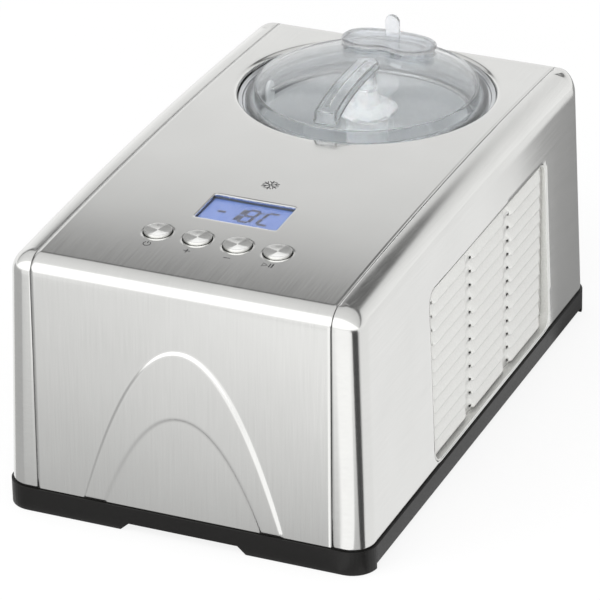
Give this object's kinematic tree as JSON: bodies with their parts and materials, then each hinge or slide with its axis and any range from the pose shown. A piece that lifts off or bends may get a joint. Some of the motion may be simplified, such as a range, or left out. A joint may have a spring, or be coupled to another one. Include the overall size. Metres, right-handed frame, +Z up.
{
  "type": "ice cream maker",
  "caption": "Self-cooling ice cream maker: steel-clad box on a black base, buttons and display in front, bowl well under a clear domed lid with a driven paddle.",
  "frame": {"origin": "middle of the underside, on the plane the rubber feet rest on", "axes": "+Z up, -Y the front with the buttons, +X to the right seen from the front"},
  "size_m": [0.268, 0.425, 0.2312],
  "materials": {
    "black_plastic": "satin moulded",
    "foot_rubber": "matt",
    "brushed_sheet": "fine brushed",
    "vent_aluminium": "satin",
    "steel_screw": "zinc plated",
    "collar_plastic": "satin",
    "can_aluminium": "plain",
    "copper_tube": "drawn copper",
    "foam": "cast foam",
    "grey_plastic": "moulded",
    "display_lens": "clear blue",
    "display_glass": "backlit",
    "board": "solder mask",
    "switch_plastic": "moulded",
    "spun_button": "spun",
    "bush_bronze": "sintered",
    "seal_rubber": "matt",
    "gear_plastic": "acetal",
    "shaft_steel": "ground",
    "motor_steel": "zinc",
    "compressor_paint": "semi gloss",
    "fin_aluminium": "plain",
    "transformer_core": "varnished",
    "capacitor_can": "moulded",
    "bowl_metal": "anodised satin",
    "bail_wire": "polished",
    "paddle_white": "moulded",
    "lid_clear": "clear",
    "handle_clear": "clear",
    "cap_clear": "clear"
  },
  "bodies": {
    "housing": {"base_tray": "black_plastic", "rubber_feet": "foot_rubber", "front_top_panel": "brushed_sheet", "side_panel_right": "brushed_sheet", "side_panel_left": "brushed_sheet", "rear_panel": "brushed_sheet", "vent_grille_right": "vent_aluminium", "vent_grille_left": "vent_aluminium", "rear_screws": "steel_screw", "cord_inlet": "black_plastic", "well_collar": "collar_plastic", "evaporator_can": "can_aluminium", "evaporator_coil": "copper_tube", "foam_shell": "foam", "control_frame": "grey_plastic", "display_window": "display_lens", "display_module": "display_glass", "control_board": "board", "tact_switches": "switch_plastic", "gearbox_case": "grey_plastic", "gearbox_cover": "grey_plastic", "gearbox_screws": "steel_screw", "shaft_bushes": "bush_bronze", "shaft_seal": "seal_rubber", "idler_pin": "shaft_steel", "drive_motor": "motor_steel", "compressor_shell": "compressor_paint", "compressor_foot_plate": "compressor_paint", "compressor_grommets": "foot_rubber", "compressor_bolts": "steel_screw", "terminal_cover": "black_plastic", "filter_drier": "copper_tube", "refrigerant_pipes": "copper_tube", "condenser_fins": "fin_aluminium", "condenser_tube": "copper_tube", "fan_shroud": "grey_plastic", "fan_motor": "motor_steel", "power_board": "board", "transformer": "transformer_core", "run_capacitor": "capacitor_can"},
    "button_power": {"button_power": "spun_button"},
    "button_time_up": {"button_time_up": "spun_button"},
    "button_time_down": {"button_time_down": "spun_button"},
    "button_start_stop": {"button_start_stop": "spun_button"},
    "drive_shaft": {"drive_shaft": "shaft_steel", "output_gear": "gear_plastic"},
    "idler": {"idler_gear": "gear_plastic"},
    "motor_rotor": {"motor_rotor": "shaft_steel"},
    "fan": {"fan_rotor": "grey_plastic"},
    "bowl": {"mixing_bowl": "bowl_metal"},
    "bail": {"bowl_bail": "bail_wire"},
    "paddle": {"paddle": "paddle_white"},
    "lid": {"lid_dome": "lid_clear", "lid_handle": "handle_clear"},
    "port_cap": {"port_cap": "cap_clear"}
  },
  "joints": [
    {"name": "button_power_press", "type": "slide", "parent": "housing", "child": "button_power", "axis": [0, 0, -1], "range_m": [0, 0.0012], "stiffness_N_per_m": 250, "springref_m": -0.0008},
    {"name": "button_time_up_press", "type": "slide", "parent": "housing", "child": "button_time_up", "axis": [0, 0, -1], "range_m": [0, 0.0012], "stiffness_N_per_m": 250, "springref_m": -0.0008},
    {"name": "button_time_down_press", "type": "slide", "parent": "housing", "child": "button_time_down", "axis": [0, 0, -1], "range_m": [0, 0.0012], "stiffness_N_per_m": 250, "springref_m": -0.0008},
    {"name": "button_start_stop_press", "type": "slide", "parent": "housing", "child": "button_start_stop", "axis": [0, 0, -1], "range_m": [0, 0.0012], "stiffness_N_per_m": 250, "springref_m": -0.0008},
    {"name": "shaft_spin", "type": "hinge", "parent": "housing", "child": "drive_shaft", "pos_m": [0, 0.1135, 0.08], "axis": [0, 0, 1], "continuous": true},
    {"name": "idler_spin", "type": "hinge", "parent": "housing", "child": "idler", "pos_m": [0, 0.0395, 0.03], "axis": [0, 0, 1], "continuous": true},
    {"name": "motor_spin", "type": "hinge", "parent": "housing", "child": "motor_rotor", "pos_m": [0, -0.0055, 0.06], "axis": [0, 0, 1], "continuous": true},
    {"name": "fan_spin", "type": "hinge", "parent": "housing", "child": "fan", "pos_m": [0.06, 0, 0.072], "axis": [1, 0, 0], "continuous": true},
    {"name": "bowl_lift", "type": "slide", "parent": "housing", "child": "bowl", "axis": [0, 0, 1], "range_m": [0, 0.13]},
    {"name": "bail_swing", "type": "hinge", "parent": "bowl", "child": "bail", "pos_m": [0, 0.1135, 0.181], "axis": [1, 0, 0], "range_deg": [0, 14]},
    {"name": "paddle_spin", "type": "hinge", "parent": "bowl", "child": "paddle", "pos_m": [0, 0.1135, 0.12], "axis": [0, 0, 1], "continuous": true},
    {"name": "lid_lift", "type": "slide", "parent": "bowl", "child": "lid", "axis": [0, 0, 1], "range_m": [0, 0.1]},
    {"name": "cap_lift", "type": "slide", "parent": "lid", "child": "port_cap", "axis": [0, 0, 1], "range_m": [0, 0.04]}
  ],
  "couplings": [
    {"joint": "idler_spin", "follows": "shaft_spin", "ratio": -5.7273},
    {"joint": "motor_spin", "follows": "shaft_spin", "ratio": 22.909},
    {"joint": "paddle_spin", "follows": "shaft_spin", "ratio": 1}
  ]
}
